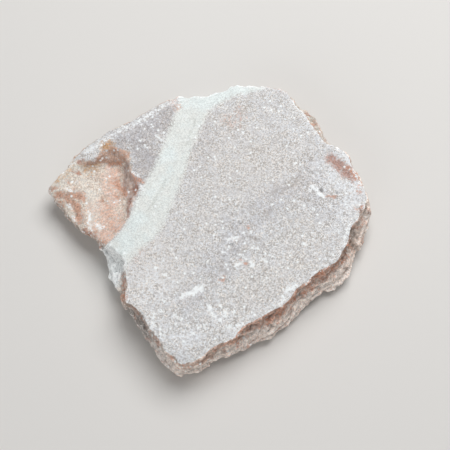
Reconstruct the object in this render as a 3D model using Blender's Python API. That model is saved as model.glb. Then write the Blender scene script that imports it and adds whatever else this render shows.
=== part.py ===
"""Raw aragonite: one hand-sized slab of sugary, pink-grey rock with a pale vein, as broken.

The slab lies on its flat underside. +X runs along its length, +Y to its back, +Z up.
The origin is under the middle of its box, on the surface that it lies on.
The stone is blocked out by hand from outlines and spot heights, in millimetres, then
remeshed, roughened and thinned out, and cut level where it rests.
"""

import math

import bmesh
import bpy
from mathutils import Vector, geometry, noise

MM = 0.001

# Driving dimensions, in millimetres
TOP_LEVEL = 14.0
CENTRE_X = -4.85
CENTRE_Y = 3.05

# The outlines were drawn as an eye over the front edge sees them, on the plane of the top face.
# A point lower down is carried on along the line of sight until it is at its own height.
EYE_HEIGHT = 374.0
EYE_FRONT = 166.6

# One row for each station round the flank, clockwise from the left tip, in millimetres:
# the edge of the top face (x, y, height), the ledge that stands out lowest below it
# (x, y, height), and how far under the ledge the foot is tucked in.
STATIONS = [
    (-55.8, 14.1, 9.6, -55.0, 12.2, 7.6, 12),
    (-54.1, 16.3, 10.4, -53.4, 14.4, 6.4, 12),
    (-52.4, 18.6, 11.0, -51.6, 16.0, 5.6, 11),
    (-49.5, 21.0, 11.4, -48.8, 18.0, 5.0, 9),
    (-48.2, 24.0, 11.6, -47.6, 20.4, 4.8, 8),
    (-46.2, 25.9, 11.9, -45.6, 22.2, 4.6, 7),
    (-42.0, 29.9, 12.2, -41.6, 25.6, 4.2, 6),
    (-37.2, 33.7, 12.4, -36.8, 29.6, 4.6, 6),
    (-31.2, 36.3, 12.5, -31.0, 32.6, 5.6, 5),
    (-29.6, 37.8, 12.5, -29.4, 34.0, 5.4, 5),
    (-24.0, 41.6, 12.6, -24.0, 37.0, 4.6, 5),
    (-18.0, 45.2, 12.8, -18.2, 40.4, 4.2, 4),
    (-15.4, 46.0, 13.0, -15.6, 42.0, 4.8, 4),
    (-12.2, 45.9, 13.0, -12.4, 42.4, 5.4, 4),
    (-10.8, 46.6, 13.1, -10.8, 42.8, 5.0, 4),
    (-8.3, 46.7, 13.1, -8.4, 42.8, 4.6, 4),
    (-7.6, 46.0, 13.1, -7.6, 42.4, 4.6, 4),
    (-4.4, 47.0, 13.2, -4.6, 43.0, 4.4, 4),
    (0.2, 48.6, 13.2, 0.0, 44.2, 4.2, 4),
    (2.6, 50.0, 13.2, 2.4, 45.6, 4.4, 4),
    (5.4, 50.4, 13.2, 5.2, 46.4, 4.8, 4),
    (6.7, 49.8, 13.2, 6.8, 46.2, 5.0, 4),
    (12.0, 50.0, 13.3, 12.0, 46.4, 5.6, 4),
    (16.5, 49.8, 13.3, 16.6, 46.6, 6.2, 4),
    (19.8, 48.9, 13.3, 20.0, 46.4, 6.8, 4),
    (21.2, 47.3, 13.4, 21.6, 45.4, 7.4, 4),
    (22.4, 44.8, 13.6, 23.0, 43.9, 8.2, 5),
    (23.8, 42.4, 13.6, 24.6, 42.0, 8.0, 5),
    (25.6, 39.8, 13.7, 27.0, 39.7, 7.6, 5),
    (27.6, 36.8, 13.8, 29.2, 37.6, 7.2, 5),
    (29.5, 33.6, 13.8, 31.0, 33.9, 7.0, 5),
    (31.4, 30.6, 13.7, 32.0, 30.6, 6.8, 5),
    (32.8, 29.2, 13.2, 33.0, 27.6, 6.4, 5),
    (36.3, 27.7, 12.8, 36.4, 25.2, 5.8, 5),
    (38.5, 26.3, 12.7, 38.6, 23.4, 5.4, 5),
    (39.9, 24.3, 12.6, 40.0, 21.4, 5.2, 5),
    (41.3, 20.2, 12.7, 41.4, 17.6, 5.4, 5),
    (43.6, 14.7, 12.8, 43.8, 12.2, 6.0, 5),
    (45.4, 9.9, 12.6, 45.3, 8.2, 7.2, 5),
    (44.4, 7.2, 12.8, 45.7, 5.8, 7.0, 5),
    (43.1, 5.0, 13.2, 45.7, 3.2, 6.4, 5),
    (41.8, 2.4, 13.6, 45.0, 0.0, 5.6, 5),
    (40.4, 0.2, 13.8, 44.0, -3.3, 5.0, 5),
    (39.0, -3.2, 13.9, 43.1, -5.7, 4.4, 5),
    (38.2, -7.2, 13.9, 41.6, -8.0, 4.2, 5),
    (36.6, -9.6, 13.9, 40.3, -10.0, 4.0, 5),
    (34.9, -11.6, 13.8, 39.6, -12.8, 3.8, 5),
    (33.6, -13.4, 13.8, 38.6, -15.9, 3.6, 4),
    (31.8, -14.1, 13.8, 37.4, -18.6, 3.2, 4),
    (30.4, -15.4, 13.8, 36.1, -20.2, 3.0, 4),
    (28.6, -16.5, 13.8, 33.6, -20.4, 3.2, 4),
    (27.2, -17.2, 13.8, 31.2, -21.6, 3.6, 5),
    (26.0, -19.3, 13.8, 28.6, -23.2, 3.8, 5),
    (23.8, -20.4, 13.8, 26.8, -24.4, 3.6, 5),
    (21.9, -21.6, 13.8, 24.8, -26.8, 3.4, 5),
    (20.8, -23.6, 13.8, 22.9, -28.2, 3.4, 5),
    (18.8, -25.2, 13.8, 21.2, -30.1, 3.2, 4),
    (17.6, -27.7, 13.8, 19.9, -31.9, 3.0, 4),
    (16.2, -28.6, 13.8, 18.7, -33.1, 3.0, 4),
    (13.4, -29.3, 13.8, 15.6, -35.2, 3.2, 4),
    (10.0, -31.3, 13.8, 12.4, -37.2, 3.4, 4),
    (6.4, -33.0, 13.8, 8.8, -39.2, 3.4, 4),
    (4.2, -34.8, 13.7, 6.4, -40.4, 3.6, 5),
    (3.2, -36.5, 13.7, 4.8, -41.0, 3.8, 6),
    (0.5, -38.0, 13.6, 1.8, -41.5, 4.2, 6),
    (-2.0, -39.4, 13.5, -0.6, -43.1, 4.0, 5),
    (-4.2, -41.1, 13.3, -2.6, -44.2, 3.8, 5),
    (-6.2, -43.4, 12.9, -4.4, -45.5, 3.6, 4),
    (-8.8, -44.6, 12.5, -7.2, -47.2, 3.2, 4),
    (-11.2, -45.4, 12.2, -10.2, -48.4, 2.8, 4),
    (-13.2, -46.0, 12.0, -13.2, -49.0, 2.6, 3),
    (-14.4, -44.8, 12.3, -15.3, -48.4, 2.6, 3),
    (-15.9, -43.1, 12.7, -17.3, -46.8, 3.0, 3),
    (-18.5, -40.5, 13.2, -19.7, -43.1, 3.4, 4),
    (-21.3, -36.7, 13.5, -23.5, -38.2, 3.8, 5),
    (-23.3, -33.2, 13.7, -26.0, -34.2, 4.0, 5),
    (-25.4, -29.9, 13.8, -28.1, -30.5, 4.2, 5),
    (-28.4, -27.0, 13.8, -29.8, -27.6, 4.4, 5),
    (-30.6, -25.8, 13.7, -31.6, -25.4, 5.0, 5),
    (-30.9, -23.4, 13.7, -31.8, -22.6, 5.6, 6),
    (-30.7, -20.8, 13.7, -33.4, -21.2, 5.4, 6),
    (-30.9, -18.4, 13.7, -35.2, -19.2, 5.2, 6),
    (-31.0, -15.2, 13.7, -35.6, -15.8, 5.6, 7),
    (-31.4, -12.4, 13.6, -36.8, -11.9, 6.2, 8),
    (-33.0, -10.0, 13.2, -37.6, -9.8, 6.8, 9),
    (-36.2, -7.6, 12.0, -39.2, -7.2, 7.2, 10),
    (-38.6, -5.2, 10.8, -39.8, -4.7, 7.4, 12),
    (-42.4, -3.3, 9.0, -42.8, -3.7, 6.8, 13),
    (-45.3, -1.7, 8.2, -45.8, -1.9, 6.4, 14),
    (-47.7, 0.9, 7.8, -48.1, 0.9, 6.2, 14),
    (-51.4, 5.6, 7.8, -51.9, 5.6, 6.4, 14),
    (-54.8, 10.2, 8.6, -55.1, 10.4, 7.2, 13),
]

# Lines drawn on the top face where it bends or breaks, seen in the same way: (x, y, height)
BREAKLINES = {
    "crease of the bruised bevel": [
        (-44.5, 24.7, 13.2), (-41.0, 28.2, 13.6), (-36.5, 31.4, 13.8), (-30.5, 34.5, 13.9),
        (-24.0, 39.3, 13.9), (-18.5, 42.8, 13.9), (-15.0, 43.7, 13.8),
    ],
    "brow of the scoop, back": [
        (-46.5, 22.5, 12.0), (-44.0, 22.3, 12.5), (-42.0, 22.6, 12.9), (-40.2, 24.5, 13.2),
        (-39.5, 27.0, 13.5), (-38.0, 29.1, 13.7), (-36.0, 28.0, 13.8), (-33.0, 26.4, 13.8),
        (-30.2, 25.8, 13.8),
    ],
    "brow of the scoop, right": [
        (-30.2, 25.8, 13.8), (-30.1, 22.0, 13.8), (-29.6, 17.8, 13.8), (-28.2, 16.0, 13.8),
        (-27.2, 13.6, 13.8), (-27.6, 11.0, 13.8), (-28.6, 8.0, 13.7), (-29.2, 5.6, 13.6),
        (-30.2, 3.2, 13.4), (-31.4, 0.8, 13.0), (-33.0, -2.0, 12.6), (-35.2, -4.6, 12.1),
    ],
    "toe of the scoop": [
        (-46.4, 20.3, 10.7), (-43.0, 20.7, 10.1), (-40.0, 21.0, 9.7), (-38.0, 21.3, 9.4),
        (-34.6, 20.9, 9.3), (-32.8, 19.8, 9.2), (-32.5, 17.0, 9.2), (-32.9, 14.0, 9.2),
        (-32.4, 11.0, 9.6), (-31.8, 8.4, 10.1), (-31.6, 5.0, 10.9), (-32.2, 2.2, 11.4),
        (-34.0, -1.2, 11.5), (-36.4, -4.4, 11.4),
    ],
    "floor of the scoop": [
        (-51.0, 16.6, 10.5), (-46.5, 16.4, 9.8), (-41.0, 16.0, 9.0), (-37.2, 13.4, 8.7),
        (-37.0, 9.0, 9.0), (-37.6, 4.0, 9.7), (-38.2, -0.6, 10.3),
    ],
    "ridge of the wing": [
        (-54.2, 12.9, 9.6), (-50.2, 12.6, 10.4), (-47.4, 11.9, 10.4), (-45.0, 9.6, 10.0),
        (-44.0, 6.0, 9.6), (-43.8, 2.6, 9.5), (-42.4, -0.8, 9.6),
    ],
    "trough of the vein": [
        (-10.0, 43.6, 13.4), (-11.2, 38.0, 13.5), (-14.0, 30.0, 13.6), (-17.2, 22.0, 13.6),
        (-20.4, 14.0, 13.6), (-24.0, 6.4, 13.5), (-27.6, -0.6, 13.3), (-32.2, -6.4, 12.8),
    ],
    "right border of the vein": [
        (-5.4, 41.0, 13.9), (-9.3, 31.0, 14.0), (-12.3, 21.0, 14.0), (-15.5, 11.0, 14.0),
        (-18.5, 2.0, 14.0), (-22.5, -4.5, 14.0), (-28.0, -10.5, 13.9),
    ],
    "crease of the right scar": [
        (31.0, 26.4, 13.8), (32.4, 22.4, 13.8), (35.6, 18.0, 13.8), (39.2, 15.2, 13.6),
        (42.4, 12.8, 13.2),
    ],
    "floor of the right scar": [
        (32.8, 26.2, 13.0), (34.2, 22.8, 12.7), (37.2, 19.2, 12.6), (40.4, 16.4, 12.7),
    ],
    "shoulder along the front": [
        (-26.4, -22.0, 14.1), (-20.0, -31.0, 14.0), (-13.2, -40.6, 13.5), (-4.0, -36.0, 14.0),
        (6.0, -28.0, 14.2), (18.0, -19.0, 14.1), (29.0, -10.0, 14.2), (36.0, 0.4, 14.1),
    ],
}

# Spot heights on the rest of the top face, seen in the same way
SPOTS = [
    (0.0, 0.0, 14.2), (12.0, -8.0, 14.0), (22.0, 6.0, 14.1), (10.0, 18.0, 14.2), (2.0, 32.0, 14.1),
    (16.0, 38.0, 13.9), (24.0, 22.0, 14.1), (-10.0, -16.0, 14.1), (-22.0, 30.0, 13.8),
    (-26.0, 22.0, 13.9), (4.0, 45.5, 13.7), (-14.0, -26.0, 14.0), (37.0, 8.0, 13.8),
]

# How a flank falls from the edge of the top face to the ledge: the share of the drop, the share
# of the way out to the ledge, and how far the rock stands back there, in millimetres
FLANK_PROFILE = [
    (0.10, 0.00, 0.20),
    (0.28, 0.02, 0.55),
    (0.48, 0.10, 0.70),
    (0.64, 0.36, 0.50),
    (0.82, 0.78, 0.20),
    (1.00, 1.00, 0.00),
]
FULL_DROP = 8.0

# How the underside runs from the ledge to the foot: the share of the tuck and of the height
UNDERCUT_PROFILE = [
    (0.14, 0.72),
    (0.46, 0.30),
    (1.00, 0.00),
]
FOOT_LEVEL = -1.2

# Hollows split out of the underside's edge, in the stone's own frame: x, y, radius, depth
HOLLOWS = [
    (34.0, 32.0, 25.0, 3.0),
    (-22.0, 36.0, 20.0, 2.6),
    (36.0, -22.0, 19.0, 2.4),
    (-30.0, -16.0, 17.0, 2.8),
    (12.0, -42.0, 17.0, 2.2),
    (12.0, 52.0, 15.0, 2.4),
]
HOLLOW_WANDER = 5.0
HOLLOW_WANDER_WIDTH = 9.0

# The share of its radius within which a hollow has its full depth
HOLLOW_FLOOR = 0.55

# Points of the top face nearer to each other than this are one point, in millimetres
SAME_POINT = 0.001

# The triangulation's result: 1 stands for the triangles within the outer edges
WITHIN_EDGES = 1

VOXEL = 0.8
TRIANGLES = 9200

# The lumps and chips are noise drawn from this seed
SEED = 4

# Roughness of the broken rock, in millimetres: the height and the width of its lumps
FLANK_LUMP = 0.35
FLANK_LUMP_WIDTH = 6.0
LAYER_STEP = 0.60
LAYER_THICKNESS = 1.9
LAYER_LENGTH = 24.0
CHIP_TILT = 0.20
CHIP_LENGTH = 7.0
CHIP_HEIGHT = 3.2
TOP_LUMP = 0.16
TOP_LUMP_WIDTH = 8.0

# How lumps hold smaller lumps: how fast these get flatter, how much narrower each is, how many
LUMP_FADE = 1.0
LUMP_NARROWING = 2.0
LUMP_SIZES = 3

# A facet counts as flank where its normal's height is below the first, and as top above the second
FLANK_BELOW = 0.10
TOP_ABOVE = 0.50

# It counts as underside below the second of these, and not at all above the first
UNDERSIDE_BELOW = -0.5
UNDERSIDE_FULLY = -0.9

GROUND_SIZE = 200.0
GROUND_DEPTH = 20.0

STONE_COLOUR = (0.60, 0.57, 0.55, 1.0)
STONE_ROUGHNESS = 0.75


def clear_scene():
    for obj in list(bpy.data.objects):
        bpy.data.objects.remove(obj, do_unlink=True)


def seen(x, y, z):
    """The place, in the stone's own frame, of a point drawn at (x, y) whose height is z."""
    slide = (TOP_LEVEL - z) / EYE_HEIGHT
    return Vector((x + x * slide - CENTRE_X, y + (y + EYE_FRONT) * slide - CENTRE_Y, z))


def inward(point, distance):
    """The point moved level towards the middle of the stone."""
    way = Vector((-point.x, -point.y, 0.0)).normalized()
    return point + way * distance


def flank_loops():
    """Loops of points round the stone, from the edge of the top face down to the foot."""
    rims = [seen(*row[0:3]) for row in STATIONS]
    ledges = [seen(*row[3:6]) for row in STATIONS]
    tucks = [row[6] for row in STATIONS]
    loops = [rims]
    for drop, out, recess in FLANK_PROFILE:
        loop = []
        for rim, ledge in zip(rims, ledges):
            point = rim.lerp(ledge, out)
            point.z = rim.z + (ledge.z - rim.z) * drop
            share = min(1.0, (rim.z - ledge.z) / FULL_DROP)
            loop.append(inward(point, recess * share))
        loops.append(loop)
    for tuck_share, height_share in UNDERCUT_PROFILE:
        loop = []
        for ledge, tuck in zip(ledges, tucks):
            point = inward(ledge, tuck * tuck_share)
            point.z = FOOT_LEVEL + (ledge.z - FOOT_LEVEL) * height_share
            loop.append(point)
        loops.append(loop)
    return loops


def top_triangles():
    """The top face as points in the stone's frame and triangles, the rim's points first."""
    drawn = [row[0:3] for row in STATIONS]
    count = len(drawn)
    edges = [(i, (i + 1) % count) for i in range(count)]
    for line in BREAKLINES.values():
        start = len(drawn)
        drawn += line
        edges += [(start + i, start + i + 1) for i in range(len(line) - 1)]
    drawn += SPOTS
    flat = [Vector(point[0:2]) for point in drawn]
    places, _, faces, sources, _, _ = geometry.delaunay_2d_cdt(
        flat, edges, [], WITHIN_EDGES, SAME_POINT
    )
    points = []
    for place, source in zip(places, sources):
        if not source:
            raise ValueError(f"two lines on the top face cross near {place.x:.1f}, {place.y:.1f}")
        points.append(seen(place.x, place.y, drawn[source[0]][2]))
    return points, faces


def bridge(bm, upper, lower):
    """Quads between two loops of points."""
    count = len(upper)
    for i in range(count):
        j = (i + 1) % count
        bm.faces.new((upper[i], upper[j], lower[j], lower[i]))


def block_out():
    """The stone as straight facets: its top face, its flanks and its underside."""
    bm = bmesh.new()
    points, faces = top_triangles()
    top = [bm.verts.new(point * MM) for point in points]
    for face in faces:
        bm.faces.new([top[i] for i in face])
    loops = flank_loops()
    upper = top[: len(STATIONS)]
    for loop in loops[1:]:
        lower = [bm.verts.new(point * MM) for point in loop]
        bridge(bm, upper, lower)
        upper = lower
    middle = bm.verts.new(Vector((0.0, 0.0, FOOT_LEVEL)) * MM)
    for i in range(len(upper)):
        bm.faces.new((upper[i], upper[(i + 1) % len(upper)], middle))
    bmesh.ops.recalc_face_normals(bm, faces=bm.faces)
    mesh = bpy.data.meshes.new("blocked_out")
    bm.to_mesh(mesh)
    bm.free()
    return mesh


def remeshed(mesh):
    """The same shape in small even facets."""
    obj = bpy.data.objects.new("blocked_out", mesh)
    bpy.context.collection.objects.link(obj)
    remesh = obj.modifiers.new("Remesh", "REMESH")
    remesh.mode = "VOXEL"
    remesh.voxel_size = VOXEL * MM
    graph = bpy.context.evaluated_depsgraph_get()
    fine = bpy.data.meshes.new_from_object(obj.evaluated_get(graph))
    bpy.data.objects.remove(obj, do_unlink=True)
    bpy.data.meshes.remove(mesh)
    return fine


def smoothstep(low, high, value):
    share = min(1.0, max(0.0, (value - low) / (high - low)))
    return share * share * (3.0 - 2.0 * share)


def lumps(place):
    """Lumps with smaller ones on them: a height from about -1 to 1."""
    return noise.fractal(place, LUMP_FADE, LUMP_NARROWING, LUMP_SIZES)


def hollow_depth(place):
    """How far the underside is hollowed there. The hollows' edges wander."""
    wander = noise.noise_vector(place / HOLLOW_WANDER_WIDTH) * HOLLOW_WANDER
    x = place.x + wander.x
    y = place.y + wander.y
    depth = 0.0
    for centre_x, centre_y, radius, deepest in HOLLOWS:
        share = math.hypot(x - centre_x, y - centre_y) / radius
        depth = max(depth, deepest * smoothstep(1.0, HOLLOW_FLOOR, share))
    return depth


def chip_height(place):
    """Flat chips with edges between them, each tilted its own way."""
    squeezed = Vector((place.x / CHIP_LENGTH, place.y / CHIP_LENGTH, place.z / CHIP_HEIGHT))
    _, centres = noise.voronoi(squeezed)
    tilt = noise.noise_vector(centres[0] * CHIP_LENGTH)
    return (squeezed - centres[0]).dot(tilt) * CHIP_TILT * CHIP_LENGTH


def roughen(mesh):
    """Lumps all over, layers along the flanks and hollows in the underside."""
    moved = []
    for vertex in mesh.vertices:
        place = vertex.co / MM
        normal = vertex.normal
        on_top = smoothstep(FLANK_BELOW, TOP_ABOVE, normal.z)
        steep = 1.0 - abs(normal.z)
        lump = lumps(place / FLANK_LUMP_WIDTH) * FLANK_LUMP
        swell = lumps(place / TOP_LUMP_WIDTH) * TOP_LUMP
        layered = Vector((place.x, place.y, 0.0)) / LAYER_LENGTH
        layered.z = place.z / LAYER_THICKNESS
        layer = lumps(layered) * LAYER_STEP * steep
        broken = lump + layer + chip_height(place)
        out = broken * (1.0 - on_top) + swell * on_top
        underside = smoothstep(UNDERSIDE_BELOW, UNDERSIDE_FULLY, normal.z)
        hollow = hollow_depth(place) * underside
        moved.append((place + normal * out + Vector((0.0, 0.0, hollow))) * MM)
    for vertex, place in zip(mesh.vertices, moved):
        vertex.co = place


def stone_material():
    material = bpy.data.materials.new("sugary_aragonite")
    material.use_nodes = True
    shader = material.node_tree.nodes["Principled BSDF"]
    shader.inputs["Base Color"].default_value = STONE_COLOUR
    shader.inputs["Roughness"].default_value = STONE_ROUGHNESS
    shader.inputs["Metallic"].default_value = 0.0
    return material


def ground_block():
    """The surface under the stone, as a solid that cuts its underside level."""
    bm = bmesh.new()
    bmesh.ops.create_cube(bm, size=1.0)
    size = Vector((GROUND_SIZE, GROUND_SIZE, GROUND_DEPTH)) * MM
    bmesh.ops.scale(bm, vec=size, verts=bm.verts)
    mesh = bpy.data.meshes.new("ground")
    bm.to_mesh(mesh)
    bm.free()
    ground = bpy.data.objects.new("ground", mesh)
    bpy.context.collection.objects.link(ground)
    ground.location.z = -GROUND_DEPTH / 2 * MM
    ground.hide_render = True
    ground.display_type = "WIRE"
    return ground


def make_slab():
    mesh = remeshed(block_out())
    roughen(mesh)
    mesh.name = "aragonite_slab"
    mesh.materials.append(stone_material())
    slab = bpy.data.objects.new("aragonite_slab", mesh)
    bpy.context.collection.objects.link(slab)
    thin = slab.modifiers.new("Thin out", "DECIMATE")
    mesh.calc_loop_triangles()
    thin.ratio = TRIANGLES / len(mesh.loop_triangles)
    level = slab.modifiers.new("Cut level", "BOOLEAN")
    level.operation = "DIFFERENCE"
    level.solver = "EXACT"
    level.object = ground_block()
    return slab


clear_scene()
noise.seed_set(SEED)
make_slab()
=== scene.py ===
"""Dresses a slab of raw aragonite: broken relief, a pale waxy vein, stains and bruises.

Everything is drawn in millimetres and made in metres, +Z up. The slab lies on its underside, its
pointed corner towards the front. What is drawn on it, such as the vein and the stains, is drawn
as an eye over the front edge sees it, on the plane of the top face.
"""

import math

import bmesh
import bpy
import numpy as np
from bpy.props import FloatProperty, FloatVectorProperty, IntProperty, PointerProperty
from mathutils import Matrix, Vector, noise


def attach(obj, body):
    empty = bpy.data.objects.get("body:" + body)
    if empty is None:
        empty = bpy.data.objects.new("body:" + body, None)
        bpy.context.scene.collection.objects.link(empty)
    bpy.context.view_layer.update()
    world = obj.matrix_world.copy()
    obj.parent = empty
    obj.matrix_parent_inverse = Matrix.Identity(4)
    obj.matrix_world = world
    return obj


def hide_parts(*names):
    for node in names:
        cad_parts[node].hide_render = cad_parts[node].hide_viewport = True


bl_info = {
    "name": "Raw Aragonite Slab",
    "version": (1, 0, 0),
    "blender": (4, 5, 0),
    "location": "View3D > Sidebar > Aragonite",
    "description": "Dresses a slab of raw aragonite and sets it on a plain stage",
    "category": "Object",
}

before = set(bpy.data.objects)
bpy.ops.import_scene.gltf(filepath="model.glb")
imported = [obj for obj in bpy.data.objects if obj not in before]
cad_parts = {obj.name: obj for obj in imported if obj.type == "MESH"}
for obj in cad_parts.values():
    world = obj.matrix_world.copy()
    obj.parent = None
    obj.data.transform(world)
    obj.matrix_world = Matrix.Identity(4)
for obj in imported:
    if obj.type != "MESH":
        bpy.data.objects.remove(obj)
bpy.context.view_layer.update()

NODE = "aragonite_slab"
MM = 0.001

# The eye over the front edge, and the middle of the sheet that the lines are drawn on, in mm
TOP_LEVEL = 14.0
CENTRE_X = -4.85
CENTRE_Y = 3.05
EYE_HEIGHT = 374.0
EYE_FRONT = 166.6

# The ledges round the stone lie lower than this, and its top face higher, in mm
LEDGE_TOP = 11.2
LEDGE_BLEND = 0.8

# How far a face looks up, from 0 to 1, where the top face ends and where the flank starts
TOP_ENDS = 0.72
FLANK_STARTS = 0.42

# The mesh notes how deep a place is in the vein or the scoop, up to so many millimetres
VEIN_REACH = 6.0
SCOOP_REACH = 4.0

# How often a number is evened out with its neighbours: over the rim, and for how far a place stands proud,
# which lightens ridges as wear and painted highlight and darkens hollows
FRINGE_ROUNDS = 14
WEAR_AND_HIGHLIGHT_ROUNDS = 4

# What the fine relief is made of, in mm: how wide it is, and for the facets how far they tilt
LAYER_SIZE = (9.0, 9.0, 1.1)
CRUMB_SIZE = 1.7
SWELL_SIZE = 5.0
CHIP_SIZE = 2.4
BROAD_FACET = 3.6
BROAD_RISE = 3.0
SMALL_FACET = 1.5
SMALL_RISE = 0.8

# A facet's tilt is looked up in a noise, which the seed sets, at its middle times the shuffle
SEED = 4
FACET_SHUFFLE = 7.3

# How much of the flanks' relief the scoop's walls, its floor and the white marks have
WALL_RELIEF = 0.8
FLOOR_RELIEF = 0.4
SCOOP_TILT = 0.6
WHITE_RELIEF = 0.3

# The floor and the camera
FLOOR_HALF = 1.5
FLOOR_GAP = 0.0001
LENS = 105
NEAREST_SEEN = 0.01

# Where the lamps hang, in metres
KEY_PLACE = (0.16, 0.30, 0.60)
FRONT_PLACE = (-0.32, -0.62, 0.30)

# The vein: its left border from the back to the front, then its right one
VEIN_LEFT = [
    (-16.2, 52.0), (-15.0, 44.5), (-16.5, 38.0), (-19.5, 29.0), (-21.0, 24.5), (-22.5, 20.0),
    (-25.0, 15.5), (-26.2, 12.0), (-27.5, 9.0), (-28.8, 6.0), (-30.0, 3.0), (-31.2, 0.4),
    (-32.8, -2.4), (-35.0, -5.2), (-38.4, -8.0), (-42.0, -10.0),
]
VEIN_RIGHT = [
    (16.0, 52.0), (12.0, 48.6), (7.0, 47.4), (3.0, 46.2), (0.0, 44.6), (-3.0, 42.5), (-5.0, 41.0),
    (-6.3, 38.0), (-7.8, 35.0), (-9.3, 31.0), (-10.3, 28.0), (-11.5, 24.5), (-12.3, 21.0),
    (-13.0, 18.0), (-14.5, 14.0), (-15.5, 11.0), (-17.0, 6.0), (-18.5, 2.0), (-20.0, -1.5),
    (-22.5, -4.5), (-25.5, -7.5), (-28.0, -10.5), (-30.0, -13.0), (-31.2, -17.0), (-33.0, -21.5),
    (-37.0, -25.0),
]

# The scoop: its brow from the rim round to the vein, then the outline of the wing
SCOOP = [
    (-47.4, 22.8), (-44.0, 22.5), (-42.0, 22.8), (-40.2, 24.5), (-39.5, 27.0), (-38.2, 29.0),
    (-36.6, 28.8), (-35.6, 27.6), (-33.0, 26.4), (-30.2, 25.8), (-30.1, 22.0), (-29.6, 18.6),
    (-28.2, 16.0), (-27.4, 13.6), (-27.8, 11.0), (-28.7, 8.0), (-29.4, 5.6), (-30.6, 2.2),
    (-32.4, -1.4), (-35.0, -4.6), (-37.6, -7.0), (-41.0, -7.0), (-48.5, -1.0), (-58.0, 9.0),
    (-58.0, 16.0), (-52.0, 20.0),
]
WALL_BACK = [
    (-46.6, 21.0), (-44.6, 22.2), (-42.0, 22.8), (-40.2, 24.5), (-39.5, 27.0), (-38.2, 29.0),
    (-36.6, 28.8), (-35.6, 27.6), (-33.0, 26.4), (-30.2, 25.8), (-30.6, 23.4), (-32.2, 21.4),
    (-35.0, 20.8), (-38.0, 21.6), (-41.0, 21.4), (-44.0, 20.4),
]
WALL_RIGHT = [
    (-30.4, 23.0), (-30.0, 20.0), (-29.6, 18.4), (-28.4, 16.0), (-27.2, 13.6), (-27.8, 11.0),
    (-28.8, 8.0), (-29.5, 5.6), (-30.4, 2.6), (-30.9, 3.0), (-30.8, 6.0), (-30.9, 8.8),
    (-31.6, 11.0), (-32.6, 14.0), (-32.4, 17.0), (-32.6, 19.6), (-31.8, 21.6),
]
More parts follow.
